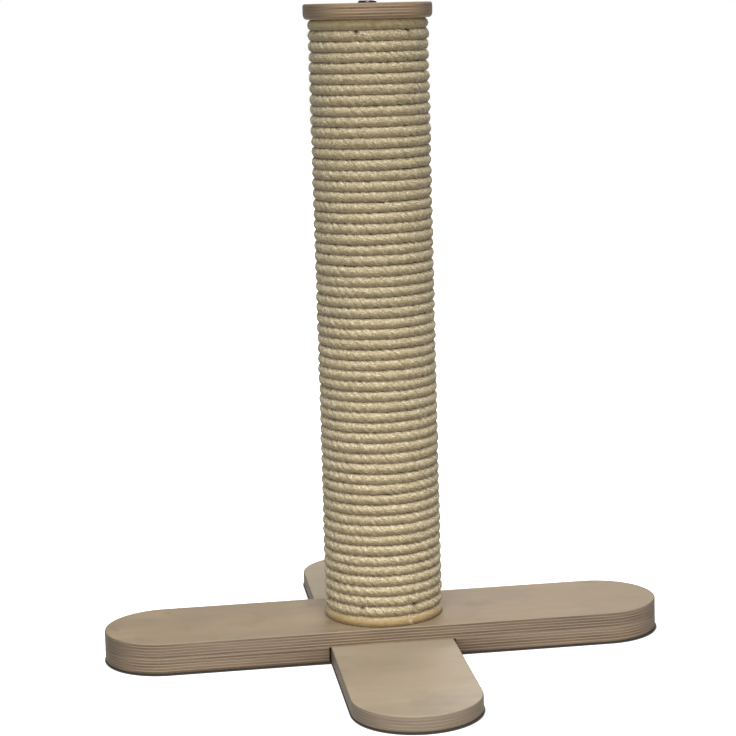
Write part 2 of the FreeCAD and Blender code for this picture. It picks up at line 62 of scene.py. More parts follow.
# How finely the boards' half-round ends, the cap and the recesses are divided.
ROUND_STEPS = 40
CAP_STEPS = 144
RECESS_STEPS = 40

PLIES = 11
# The share of two plies' thickness that the lighter one shows.
LIGHT_PLY = 0.36

# Sisal from the brightest fibre to the painted shade at the bottom of its grooves and in the notches
# that staples nip, and where glue has soaked in. The brightest fibre also paints a highlight along
# each turn's upper crest.
BRIGHT_FIBRE = (0.93, 0.84, 0.62)
PALE_STRAW = (0.69, 0.563, 0.336)
STRAW = (0.533, 0.42, 0.228)
RUDDY_STRAW = (0.57, 0.44, 0.30)
GREEN_STRAW = (0.44, 0.39, 0.23)
TIGHT_STRAW = (0.60, 0.455, 0.205)
OLD_STRAW = (0.24, 0.19, 0.105)
GROOVE_SHADE_STRAW = (0.29, 0.222, 0.11)
GLUED_STRAW = (0.35, 0.23, 0.092)
PALE_GLUED_STRAW = (0.42, 0.29, 0.125)
NIPPED_SHADE = (0.05, 0.035, 0.02)

# Each board's faces, and the long grain in its edges. The last colour is a painted contact shade,
# where an edge meets the floor.
LONG_FACE = (0.293, 0.222, 0.143)
LONG_SIDE = (0.305, 0.238, 0.168)
CROSS_FACE = (0.38, 0.31, 0.224)
CROSS_SIDE = (0.245, 0.195, 0.142)
PACKER_FACE = (0.305, 0.231, 0.150)
PACKER_SIDE = (0.335, 0.255, 0.176)
CAP_FACE = (0.33, 0.25, 0.17)
CAP_SIDE = (0.40, 0.296, 0.186)
PAINTED_CONTACT_SHADE = (0.06, 0.045, 0.035)

ZINC = (0.42, 0.42, 0.43)
BURNISHED = (0.10, 0.082, 0.075)
# The staple wire is dark brown so that the staples read as the shade in the notches they sit in: a
# painted shade.
STAPLE_WIRE = (0.13, 0.105, 0.085)


# ---------------------------------------------------------------- nodes

class Nodes:
    """Short ways to build one material's nodes."""

    def __init__(self, name):
        self.material = bpy.data.materials.new(name)
        self.material.use_nodes = True
        self.tree = self.material.node_tree
        self.shader = self.tree.nodes["Principled BSDF"]

    def new(self, kind, **settings):
        node = self.tree.nodes.new(kind)
        for key, value in settings.items():
            setattr(node, key, value)
        return node

    def plug(self, socket, value):
        if isinstance(value, bpy.types.NodeSocket):
            self.tree.links.new(value, socket)
        else:
            socket.default_value = value

    def math(self, operation, first, second=0.0):
        node = self.new("ShaderNodeMath", operation=operation)
        for socket, value in zip(node.inputs, (first, second)):
            self.plug(socket, value)
        return node.outputs[0]

    def vector(self, operation, first, second):
        node = self.new("ShaderNodeVectorMath", operation=operation)
        self.plug(node.inputs[0], first)
        self.plug(node.inputs[1], second)
        return node.outputs["Vector"]

    def ramp(self, value, stops):
        """A curve through (position, grey) stops."""
        node = self.new("ShaderNodeValToRGB")
        ramp = node.color_ramp
        while len(ramp.elements) < len(stops):
            ramp.elements.new(0.5)
        for element, (position, level) in zip(ramp.elements, stops):
            element.position = position
            element.color = (level, level, level, 1.0)
        self.plug(node.inputs[0], value)
        return node.outputs["Color"]

    def between(self, value, low, high, to_low=0.0, to_high=1.0):
        node = self.new("ShaderNodeMapRange", interpolation_type="SMOOTHSTEP")
        for socket, number in zip(node.inputs, (value, low, high, to_low, to_high)):
            self.plug(socket, number)
        return node.outputs[0]

    def mix(self, amount, first, second):
        node = self.new("ShaderNodeMix", data_type="RGBA")
        self.plug(node.inputs["Factor"], amount)
        colour_inputs = [socket for socket in node.inputs if socket.type == "RGBA"]
        for socket, value in zip(colour_inputs, (first, second)):
            self.plug(socket, (*value, 1.0) if isinstance(value, tuple) else value)
        return [socket for socket in node.outputs if socket.type == "RGBA"][0]

    def place(self):
        return self.new("ShaderNodeTexCoord").outputs["Object"]

    def stretched(self, vector, scales, shift=(0.0, 0.0, 0.0)):
        node = self.new("ShaderNodeMapping")
        self.plug(node.inputs["Vector"], vector)
        node.inputs["Scale"].default_value = scales
        node.inputs["Location"].default_value = shift
        return node.outputs[0]

    def noise(self, vector, scale, detail=2.0, roughness=0.5, distortion=0.0):
        node = self.new("ShaderNodeTexNoise")
        self.plug(node.inputs["Vector"], vector)
        node.inputs["Scale"].default_value = scale
        node.inputs["Detail"].default_value = detail
        node.inputs["Roughness"].default_value = roughness
        node.inputs["Distortion"].default_value = distortion
        return node.outputs["Fac"]

    def bump(self, height, distance, strength):
        node = self.new("ShaderNodeBump")
        self.plug(node.inputs["Height"], height)
        node.inputs["Distance"].default_value = distance
        node.inputs["Strength"].default_value = strength
        return node.outputs[0]

    def set(self, **values):
        for key, value in values.items():
            self.plug(self.shader.inputs[key.replace("_", " ")], value)


# ---------------------------------------------------------------- materials

def toned(colour, *amounts):
    """A colour multiplied by one amount, or channel by channel by three."""
    if len(amounts) == 1:
        amounts = amounts * 3
    return tuple(channel * amount for channel, amount in zip(colour, amounts))


def plywood(name, low, face, side, contrast, shift, painted_side_shade):
    """Lacquered birch plywood: its faces, and its plies where an edge shows them.

    low is the height of the board's underside, face and side the colours of its
    faces and edges. Contrast strengthens the smudges and the end grain, and shift
    moves the pattern, so no two boards look the same. The face plies' grain runs
    along X. The edge is darker by the last amount where it faces along X: a
    painted shade for the sides that turn away from the light in front. Near the
    floor a painted contact shade darkens the edge.
    """
    n = Nodes(name)
    place = n.place()
    split = n.new("ShaderNodeSeparateXYZ")
    n.plug(split.inputs[0], place)
    normal = n.new("ShaderNodeNewGeometry").outputs["True Normal"]
    turned = n.new("ShaderNodeSeparateXYZ")
    n.plug(turned.inputs[0], normal)
    flat = n.math("ABSOLUTE", turned.outputs["Z"])
    facing = n.between(flat, 0.55, 0.95)

    # The face: long soft flames, clouds of warmer and cooler tone, fine dark pores.
    moved = n.stretched(place, (1.0, 1.0, 1.0), (shift, shift * 0.7, 0.0))
    flames = n.noise(n.stretched(moved, (4.0, 26.0, 26.0)), 1.0, 4.0, 0.55, 0.8)
    clouds = n.noise(moved, 11.0, 2.0, 0.5)
    tints = n.noise(moved, 17.0, 2.0, 0.6, 0.4)
    hairs = n.noise(n.stretched(moved, (60.0, 1500.0, 1500.0)), 1.0, 2.0, 0.6)
    specks = n.noise(n.stretched(moved, (130.0, 2600.0, 2600.0)), 1.0, 1.0, 0.5)
    light = toned(face, 1.15)
    dark = toned(face, 0.88)
    wood = n.mix(n.between(flames, 0.30, 0.70), dark, light)
    smudges = n.noise(moved, 24.0, 3.0, 0.55, 0.3)
    wood = n.mix(n.between(smudges, 0.54, 0.68, 0.0, 0.7 * contrast), wood,
                 toned(face, 0.74, 0.74, 0.70))
    wood = n.mix(n.between(clouds, 0.38, 0.62, 0.0, 0.6 * contrast), wood, toned(face, 0.86))
    warm = toned(face, 1.08, 0.97, 0.97)
    green = toned(face, 0.98, 1.03, 0.88)
    wood = n.mix(n.between(tints, 0.4, 0.62, 0.0, 0.5), wood, n.mix(0.5, warm, green))
    wood = n.mix(n.between(tints, 0.55, 0.75, 0.0, 0.6), wood, warm)
    wood = n.mix(n.between(hairs, 0.5, 0.75, 0.0, 0.22), wood, toned(face, 0.72))
    wood = n.mix(n.between(specks, 0.7, 0.82, 0.0, 0.35), wood, toned(face, 0.5))

    # The edge: plies of long grain show as thin light lines between darker end grain.
    pair = BOARD_THICKNESS / ((PLIES - 1) / 2 + LIGHT_PLY)
    height = n.math("DIVIDE", n.math("SUBTRACT", split.outputs["Z"], low), pair)
    sway = n.noise(n.stretched(place, (9.0, 9.0, 60.0)), 1.0, 2.0)
    height = n.math("ADD", height, n.math("MULTIPLY", n.math("SUBTRACT", sway, 0.5), 0.10))
    within = n.math("FRACT", n.math("ADD", height, 1.0))
    second = n.between(within, LIGHT_PLY - 0.04, LIGHT_PLY + 0.04)
    number = n.math("ADD", n.math("MULTIPLY", n.math("FLOOR", height), 2.0),
                    n.math("ROUND", second))
    side_x = n.math("POWER", turned.outputs["X"], 2.0)
    side_y = n.math("POWER", turned.outputs["Y"], 2.0)
    sum_of_sides = n.math("MAXIMUM", n.math("ADD", side_x, side_y), 0.01)
    cut = n.math("ADD", n.math("MULTIPLY", second, side_y),
                 n.math("MULTIPLY", n.math("SUBTRACT", 1.0, second), side_x))
    cut = n.math("DIVIDE", cut, sum_of_sides)
    ply_shift = n.new("ShaderNodeCombineXYZ")
    n.plug(ply_shift.inputs["Z"], n.math("MULTIPLY", number, 0.37))
    edge_place = n.vector("ADD", place, ply_shift.outputs[0])
    long_streaks = n.noise(n.stretched(edge_place, (30.0, 30.0, 2600.0)), 1.0, 3.0, 0.6)
    end_specks = n.noise(n.stretched(edge_place, (600.0, 600.0, 900.0)), 1.0, 3.0, 0.65)
    veneers = n.noise(n.stretched(edge_place, (7.0, 7.0, 40.0)), 1.0, 2.0, 0.5)
    patches = n.noise(n.stretched(edge_place, (26.0, 26.0, 90.0)), 1.0, 2.0, 0.5)
    long_grain = n.mix(n.between(long_streaks, 0.3, 0.7), toned(side, 1.05),
                       toned(side, 1.50))
    end_dark = toned(side, 0.40, 0.355, 0.33)
    end_light = toned(side, 0.66, 0.61, 0.57)
    end_grain = n.mix(n.between(end_specks, 0.3, 0.7), end_dark, end_light)
    end_grain = n.mix(n.between(patches, 0.4, 0.65, 0.0, 0.6), end_grain,
                      toned(side, 0.76, 0.62, 0.56))
    strength = n.between(cut, 0.15, 0.85, 0.22 * contrast, 0.95 * contrast)
    strength = n.math("MULTIPLY", strength, n.between(veneers, 0.3, 0.65, 0.62, 1.05))
    edge = n.mix(strength, long_grain, end_grain)
    glue = n.math("MINIMUM", n.math("ABSOLUTE", n.math("SUBTRACT", within, LIGHT_PLY)),
                  n.math("MINIMUM", within, n.math("SUBTRACT", 1.0, within)))
    edge = n.mix(n.between(glue, 0.012, 0.05, 0.45, 0.0), edge, toned(side, 0.33))
    # Painted shade: the edge darkens where it faces along X, as sides turned away from the light in
    # front would.
    ends = n.math("DIVIDE", side_x, sum_of_sides)
    edge = n.mix(n.between(ends, 0.2, 0.9, 0.0, painted_side_shade), edge, toned(side, 0.42))
    # Painted contact shade: the lowest 2 mm of an edge darkens towards the floor, where the board
    # meets it.
    contact_shade = n.between(split.outputs["Z"], 0.4 * MM, 2.0 * MM, 0.62, 0.0)
    edge = n.mix(contact_shade, edge, PAINTED_CONTACT_SHADE)
    colour = n.mix(facing, edge, wood)
    rough = n.mix(facing, (0.68, 0.68, 0.68), n.ramp(flames, ((0.3, 0.5), (0.7, 0.6))))
    relief = n.math("ADD", n.math("MULTIPLY", hairs, 0.4), n.math("MULTIPLY", specks, -0.6))
    edge_relief = n.math("ADD", n.math("MULTIPLY", n.between(cut, 0.2, 0.8), -0.8), end_specks)
    height_of_all = n.mix(facing, n.math("MULTIPLY", edge_relief, 1.6), relief)
    n.set(Base_Color=colour, Roughness=rough, Normal=n.bump(height_of_all, 0.08 * MM, 0.7))
    n.shader.inputs["Specular IOR Level"].default_value = 0.22
    return n.material


def sisal():
    """Twisted sisal. The rope's mesh brings the attributes that this reads."""
    n = Nodes("sisal")
    fibre = n.new("ShaderNodeAttribute", attribute_name="fibre").outputs["Vector"]
    glued = n.new("ShaderNodeAttribute", attribute_name="glued").outputs["Fac"]
    groove_shade = n.new("ShaderNodeAttribute", attribute_name="groove_shade").outputs["Fac"]
    nipped = n.new("ShaderNodeAttribute", attribute_name="nipped").outputs["Fac"]
    tight = n.new("ShaderNodeAttribute", attribute_name="tight").outputs["Fac"]
    crest = n.new("ShaderNodeAttribute", attribute_name="crest").outputs["Fac"]
    threads = n.noise(n.stretched(fibre, (110.0, 2300.0, 2300.0)), 1.0, 3.0, 0.62)
    yarns = n.noise(n.stretched(fibre, (190.0, 760.0, 760.0)), 1.0, 2.0, 0.55, 0.3)
    flecks = n.noise(n.stretched(fibre, (420.0, 1100.0, 1100.0), (3.1, 0.0, 0.0)), 1.0, 2.0, 0.6)
    strands = n.noise(n.stretched(fibre, (9.0, 120.0, 120.0)), 1.0, 2.0, 0.5)
    tones = n.noise(n.stretched(n.place(), (14.0, 14.0, 14.0)), 1.0, 2.0, 0.5)
    colour = n.mix(n.between(threads, 0.32, 0.66), STRAW, PALE_STRAW)
    colour = n.mix(n.between(yarns, 0.52, 0.3, 0.0, 0.55), colour, OLD_STRAW)
    colour = n.mix(n.between(strands, 0.42, 0.7, 0.0, 0.3), colour, RUDDY_STRAW)
    colour = n.mix(n.between(tones, 0.45, 0.7, 0.0, 0.3), colour, GREEN_STRAW)
    # Pale flecks of fibre, more of them along each turn's upper crest, where they are a painted
    # highlight of light from above.
    start = n.math("SUBTRACT", 0.56, n.math("MULTIPLY", crest, 0.09))
    bright = n.math("MULTIPLY", n.between(flecks, start, n.math("ADD", start, 0.12), 0.0, 0.9),
                    n.math("SUBTRACT", 1.0, n.math("MULTIPLY", tight, 0.7)))
    colour = n.mix(bright, colour, BRIGHT_FIBRE)
    colour = n.mix(n.math("MULTIPLY", tight, 0.6), colour, TIGHT_STRAW)
    # Painted shade: the grooves between strands and turns, and each turn's lower half, darken in
    # ragged patches towards the groove colour.
    painted_groove_mix = n.math("ADD", groove_shade, n.math("MULTIPLY", n.math("SUBTRACT", 0.5, yarns), 1.1))
    painted_groove_mix = n.math("MULTIPLY", n.between(painted_groove_mix, 0.12, 1.0, 0.0, 0.92), n.between(groove_shade, 0.0, 0.2))
    colour = n.mix(painted_groove_mix, colour, GROOVE_SHADE_STRAW)
    # Painted shadow in the notches where staples nip the rope.
    colour = n.mix(n.math("MULTIPLY", nipped, 0.85), colour, NIPPED_SHADE)
    glue = n.mix(n.between(yarns, 0.35, 0.65), GLUED_STRAW, PALE_GLUED_STRAW)
    colour = n.mix(n.math("MULTIPLY", glued, 0.85), colour, glue)
    relief = n.math("ADD", n.math("MULTIPLY", threads, 0.45), n.math("ADD", yarns, flecks))
    calm = n.math("SUBTRACT", 1.0, n.math("MULTIPLY", glued, 0.75))
    height = n.math("MULTIPLY", relief, calm)
    n.set(Base_Color=colour, Roughness=n.math("SUBTRACT", 0.8, n.math("MULTIPLY", glued, 0.35)),
          Normal=n.bump(height, 1.0 * MM, 1.0))
    n.shader.inputs["Specular IOR Level"].default_value = 0.4
    n.shader.inputs["Sheen Weight"].default_value = 0.2
    n.shader.inputs["Sheen Roughness"].default_value = 0.4
    return n.material


def loose_fibre():
    n = Nodes("loose_fibre")
    tones = n.noise(n.stretched(n.place(), (300.0, 300.0, 300.0)), 1.0, 1.0)
    n.set(Base_Color=n.mix(n.between(tones, 0.35, 0.65), PALE_STRAW, BRIGHT_FIBRE),
          Roughness=0.6)
    n.shader.inputs["Specular IOR Level"].default_value = 0.4
    return n.material


def steel(name, colour, roughness, spread=0.18):
    """Bare or burnished steel, with fine rubbing marks and darker blotches."""
    n = Nodes(name)
    place = n.place()
    marks = n.noise(n.stretched(place, (900.0, 900.0, 180.0)), 1.0, 3.0, 0.6)
    stains = n.noise(place, 160.0, 2.0, 0.5)
    dark = toned(colour, 0.6)
    shade = n.mix(n.between(stains, 0.4, 0.7, 0.0, 0.6), colour, dark)
    n.set(Base_Color=shade, Roughness=n.between(marks, 0.3, 0.7, roughness, roughness + spread),
          Normal=n.bump(marks, 0.02 * MM, 0.4))
    n.shader.inputs["Metallic"].default_value = 1.0
    return n.material


def cardboard():
    n = Nodes("cardboard")
    place = n.place()
    pulp = n.noise(place, 900.0, 3.0, 0.6)
    clouds = n.noise(place, 40.0, 2.0, 0.5)
    colour = n.mix(n.between(pulp, 0.35, 0.65), (0.30, 0.205, 0.12), (0.42, 0.30, 0.185))
    colour = n.mix(n.between(clouds, 0.4, 0.7, 0.0, 0.4), colour, (0.27, 0.19, 0.11))
    n.set(Base_Color=colour, Roughness=0.85, Normal=n.bump(pulp, 0.1 * MM, 0.5))
    return n.material


def softwood():
    n = Nodes("softwood")
    place = n.place()
    rings = n.noise(n.stretched(place, (120.0, 8.0, 120.0)), 1.0, 2.0, 0.5, 0.6)
    hairs = n.noise(n.stretched(place, (900.0, 60.0, 900.0)), 1.0, 2.0, 0.6)
    colour = n.mix(n.between(rings, 0.4, 0.6), (0.62, 0.44, 0.24), (0.75, 0.58, 0.36))
    colour = n.mix(n.between(hairs, 0.5, 0.75, 0.0, 0.3), colour, (0.45, 0.30, 0.16))
    n.set(Base_Color=colour, Roughness=0.7, Normal=n.bump(hairs, 0.1 * MM, 0.5))
    return n.material


# ---------------------------------------------------------------- meshes

def piece(name, points, faces, material, body="root"):
    """A mesh object in the row frame that rides on the body."""
    mesh = bpy.data.meshes.new(name)
    mesh.from_pydata([tuple(p) for p in points], [], faces)
    mesh.materials.append(material)
    made = bpy.data.objects.new(name, mesh)
    bpy.context.scene.collection.objects.link(made)
    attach(made, body)
    return made


def rounded_profile(low, high, lower_round, upper_round, lower_rise=None):
    """(inset, height) up a board's edge: a rounded arris, the plies, a rounded arris.

    The lower arris is as high as it is deep, unless lower_rise says otherwise.
    """
    steps = 5
    rise = lower_round if lower_rise is None else lower_rise
    rings = []
    for step in range(steps + 1):
        angle = math.pi / 2 * step / steps
        rings.append((lower_round * (1 - math.sin(angle)), low + rise * (1 - math.cos(angle))))
    thickness = (high - low) / PLIES
    for number in range(1, PLIES):
        level = low + thickness * number
        if low + rise < level < high - upper_round:
            rings.append((0.0, level))
    for step in range(steps + 1):
        angle = math.pi / 2 * step / steps
        rings.append((upper_round * (1 - math.cos(angle)), high - upper_round * (1 - math.sin(angle))))
    return rings


def stadium(half, radius):
    """A long outline along X with half-round ends, as rows of a centre and a way outward."""
    rows = []
    for end, start in ((half - radius, -math.pi / 2), (radius - half, math.pi / 2)):
        for step in range(ROUND_STEPS + 1):
            angle = start + math.pi * step / ROUND_STEPS
            rows.append((Vector((end, 0.0, 0.0)), Vector((math.cos(angle), math.sin(angle), 0.0))))
    return rows


def slab(name, rows, radius, profile, material, turn=0.0):
    """A flat board from an outline's rows and the profile of its edge."""
    points, faces = [], []
    spin = Matrix.Rotation(turn, 3, "Z")
    count = len(rows)
    for inset, height in profile:
        for centre, outward in rows:
            points.append(spin @ (centre + outward * (radius - inset) + Vector((0, 0, height))))
    for ring in range(len(profile) - 1):
        for index in range(count):
            following = (index + 1) % count
            faces.append((ring * count + index, ring * count + following,
                          (ring + 1) * count + following, (ring + 1) * count + index))
    curved = len(faces)
    top = (len(profile) - 1) * count
    faces.append(tuple(reversed(range(count))))
    faces.append(tuple(range(top, top + count)))
    made = piece(name, points, faces, material)
    for number, polygon in enumerate(made.data.polygons):
        polygon.use_smooth = number < curved
    return made


def carry_over(node, material):
    """Keeps a CAD node's mesh and gives it a material."""
    node_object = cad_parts[node]
    node_object.data.materials.clear()
    node_object.data.materials.append(material)


# ---------------------------------------------------------------- boards and cap

birch_long = plywood("birch_long_board", long_low.z, LONG_FACE, LONG_SIDE,
                     contrast=1.0, shift=0.3, painted_side_shade=0.75)
birch_cross = plywood("birch_cross_board", cross_low.z, CROSS_FACE, CROSS_SIDE,
                      contrast=0.6, shift=1.7, painted_side_shade=0.3)
birch_packer = plywood("birch_packers", cross_low.z, PACKER_FACE, PACKER_SIDE,
                       contrast=1.0, shift=2.9, painted_side_shade=0.75)
birch_cap = plywood("birch_cap", cap_low.z, CAP_FACE, CAP_SIDE,
                    contrast=1.0, shift=4.1, painted_side_shade=0.88)

ARRIS = 1.5 * MM
JOINT_ARRIS = 0.35 * MM
CAP_UPPER_ARRIS = 2.4 * MM
CAP_LOWER_ARRIS = 3.4 * MM
CAP_LOWER_RISE = 5.5 * MM

long_board = slab(
    "long_board_plywood", stadium(BOARD_HALF, BOARD_RADIUS), BOARD_RADIUS,
    rounded_profile(long_low.z, long_high.z, JOINT_ARRIS, ARRIS), birch_long)
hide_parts("long_board")

cross_board = slab(
    "cross_board_plywood", stadium(BOARD_HALF, BOARD_RADIUS), BOARD_RADIUS,
    rounded_profile(cross_low.z, cross_high.z, ARRIS, ARRIS), birch_cross, turn=math.pi / 2)
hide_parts("cross_board")


def packer(name, node, side):
    """A D-shaped packer, sawn off square beside the cross board."""
    low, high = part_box(node)
    sawn = min(abs(low.x), abs(high.x))
    end = BOARD_HALF - BOARD_RADIUS
    rows = [(Vector((end, 0, 0)), Vector((math.cos(a), math.sin(a), 0)))
            for a in np.linspace(-math.pi / 2, math.pi / 2, ROUND_STEPS + 1)]
    saw_steps = 6
    for step in range(saw_steps + 1):
        rows.append((Vector((sawn, 0, 0)), Vector((0, 1 - 2 * step / saw_steps, 0))))
    made = slab(name, rows, BOARD_RADIUS, rounded_profile(low.z, high.z, ARRIS, JOINT_ARRIS),
                birch_packer, turn=0.0 if side > 0 else math.pi)
    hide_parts(node)
    return made


# Points of one fastener's head lie nearer to each other than twice the reach.
HEAD_REACH = 9.0 * MM
HEAD_SKIN = 0.2 * MM
HEAD_CLEARANCE = 0.3 * MM
COUNTERBORE_RADIUS = 10.0 * MM
COUNTERBORE_DEPTH = 4.0 * MM
# The recesses are cut from this far under the base.
CUT_START = -1.0 * MM


def head_places(node):
    """The middle and the radius of each fastener's head at the underside of a node."""
    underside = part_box(node)[0].z + HEAD_SKIN
    groups = []
    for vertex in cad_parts[node].data.vertices:
        if vertex.co.z > underside:
            continue
        near = [group for group in groups if (group[0] - vertex.co).length < 2 * HEAD_REACH]
        if near:
            near[0].append(vertex.co.copy())
        else:
            groups.append([vertex.co.copy()])
    places = []
    for group in groups:
        across = [point.x for point in group]
        along = [point.y for point in group]
        middle = Vector(((min(across) + max(across)) / 2, (min(along) + max(along)) / 2, 0.0))
        places.append((middle, (max(across) - min(across)) / 2))
    return places


def sink(board, middles, profile):
    """Cuts a turned recess into a board's underside round each middle."""
    points, faces = [], []
    turns = RECESS_STEPS
    for middle in middles:
        first = len(points)
        for reach, level in profile:
            for step in range(turns):
                angle = 2 * math.pi * step / turns
                points.append(middle + Vector((reach * math.cos(angle), reach * math.sin(angle),
                                               level)))
        for row in range(len(profile) - 1):
            for step in range(turns):
                low = first + row * turns
                following = (step + 1) % turns
                faces.append((low + step, low + following, low + turns + following,
                              low + turns + step))
        faces.append(tuple(reversed(range(first, first + turns))))
        faces.append(tuple(range(len(points) - turns, len(points))))
    mesh = bpy.data.meshes.new("recesses")
    mesh.from_pydata([tuple(point) for point in points], [], faces)
    cutter = bpy.data.objects.new("recesses", mesh)
    bpy.context.scene.collection.objects.link(cutter)
    cut = board.modifiers.new("recesses", "BOOLEAN")
    cut.operation = "DIFFERENCE"
    cut.solver = "EXACT"
    cut.object = cutter
    bpy.context.view_layer.update()
    state = bpy.context.evaluated_depsgraph_get()
    result = bpy.data.meshes.new_from_object(board.evaluated_get(state))
    board.modifiers.clear()
    board.data = result
    bpy.data.objects.remove(cutter)


def countersink(radius):
    """The profile of a countersunk hole for a screw head of the radius."""
    wide = radius + HEAD_CLEARANCE
    narrow = radius / 2 + HEAD_CLEARANCE
    return [(wide, CUT_START), (wide, HEAD_CLEARANCE), (narrow, wide - narrow + HEAD_CLEARANCE)]


right = packer("right_packer_plywood", "right_packer", 1)
left = packer("left_packer_plywood", "left_packer", -1)
for board, node in ((right, "right_packer_screws"), (left, "left_packer_screws"),
                    (cross_board, "cross_board_screws")):
    heads = head_places(node)
    sink(board, [middle for middle, _ in heads], countersink(heads[0][1]))
sink(cross_board, [Vector((0.0, 0.0, 0.0))],
     [(COUNTERBORE_RADIUS, CUT_START), (COUNTERBORE_RADIUS, COUNTERBORE_DEPTH)])

cap_rows = [(Vector((0, 0, 0)), Vector((math.cos(a), math.sin(a), 0)))
            for a in np.linspace(0, 2 * math.pi, CAP_STEPS + 1)[:-1]]
cap = slab("cap_plywood", cap_rows, CAP_RADIUS,
           rounded_profile(cap_low.z, cap_high.z, CAP_LOWER_ARRIS, CAP_UPPER_ARRIS,
                           lower_rise=CAP_LOWER_RISE), birch_cap)
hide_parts("cap_disc")


# ---------------------------------------------------------------- rope

# Half the rope's size off the post and along it: the turns press into each other.
ROPE_DEPTH = 4.85 * MM
ROPE_RISE = 5.4 * MM
ROPE_TURNS = 58
# Each turn starts here with a level half and climbs to the next in its other half.
LEVEL_START = math.radians(175.0)
LAY = 24.0 * MM
RING_STEP = 2.3 * MM
ROPE_TAIL = 9.6 * MM
REST = 0.3 * MM
NOMINAL_RADIUS = 4.8 * MM
FIBRE_RADIUS = 5.0 * MM
BOARD_GAP = 0.05 * MM
STRAND_RELIEF = 0.13
SOAKED_RINGS = 9
PINCH_REACH = 2.0 * MM
PINCH_DEPTH = 0.5 * MM
WANDER_UP = 0.20 * MM
WANDER_OUT = 0.15 * MM
LOWER_PINCHES = (185.5, 240.5, 295.5, 350.5)
UPPER_PINCHES = (198.0, 251.0, 305.0, 359.0)

# One strand's points around the rope, closest together at the cusps between strands.
STRAND_POINTS = np.radians((-58.0, -44.0, -25.0, 0.0, 25.0, 44.0, 58.0))
RING_POINTS = 3 * len(STRAND_POINTS)

lane = CORE_RADIUS + REST + NOMINAL_RADIUS
lowest = FOOT + REST + NOMINAL_RADIUS
highest = HEAD - REST - NOMINAL_RADIUS
pitch = (highest - lowest) / (ROPE_TURNS - 1)


def eased(part):
    """A share from 0 to 1, with a slow start and a slow end."""
    return part * part * (3 - 2 * part)


def climbed(within):
    """How far the rope has climbed to its next turn, by how much of a turn is wound."""
    return eased(np.clip((within - 0.5) * 2, 0.0, 1.0))


def smooth_noise(rng, count, spacing):
    """Smooth random values about 0, one per ring, that change over the spacing."""
    knots = rng.standard_normal(int(count / spacing) + 4)
    at = np.arange(count) / spacing
    base = at.astype(int)
    part = eased(at - base)
    return knots[base] * (1 - part) + knots[base + 1] * part


def rope_line():
    """The rope's centre line ring by ring: angle, height, radius and the turn's number."""
    sweep = 2 * math.pi * ROPE_TURNS - math.pi
    count = int(lane * sweep / RING_STEP)
    turned = np.linspace(0.0, sweep, count)
    number = np.floor(turned / (2 * math.pi))
    climb = climbed(turned / (2 * math.pi) - number)
    rng = np.random.default_rng(7)
    height = lowest + pitch * (number + climb)
    inner = np.clip(np.minimum(number, ROPE_TURNS - 1 - number), 0, 1)
    height = height + smooth_noise(rng, count, 50) * WANDER_UP * inner
    radius = lane + smooth_noise(rng, count, 40) * WANDER_OUT
    # Both ends run straight on, off the post's round, as far as the tail is long.
    tail = np.arange(RING_STEP, ROPE_TAIL, RING_STEP)
    bend = np.arctan(tail / lane)
    off = np.hypot(tail, lane)
    angle = np.concatenate((-bend[::-1], turned, sweep + bend)) + LEVEL_START
    height = np.concatenate((np.full(len(tail), lowest), height, np.full(len(tail), highest)))
    radius = np.concatenate((off[::-1], radius, off))
    number = np.concatenate((np.zeros(len(tail)), number, np.full(len(tail), ROPE_TURNS - 1.0)))
    return angle, height, radius, number


def pinches(angle, number):
    """How strongly each ring is squeezed by a staple, from 0 to 1."""
    squeeze = np.zeros(len(angle))
    for turn, places in ((1, LOWER_PINCHES), (ROPE_TURNS - 2, UPPER_PINCHES)):
        for degrees in places:
            off = (angle - math.radians(degrees) + math.pi) % (2 * math.pi) - math.pi
            near = np.exp(-(off * lane / PINCH_REACH) ** 2)
            squeeze = np.maximum(squeeze, near * (number == turn))
    return squeeze


def strand_section():
    """Around the rope: the angle, the strand, and the dip between the strands."""
    around = np.concatenate([STRAND_POINTS + math.radians(60 + 120 * k) for k in range(3)])
    strand = np.repeat(np.arange(3), len(STRAND_POINTS))
    within = np.tile(STRAND_POINTS, 3)
    dip = (1 - np.cos(within)) / (1 - math.cos(math.radians(60)))
    return around, strand, dip


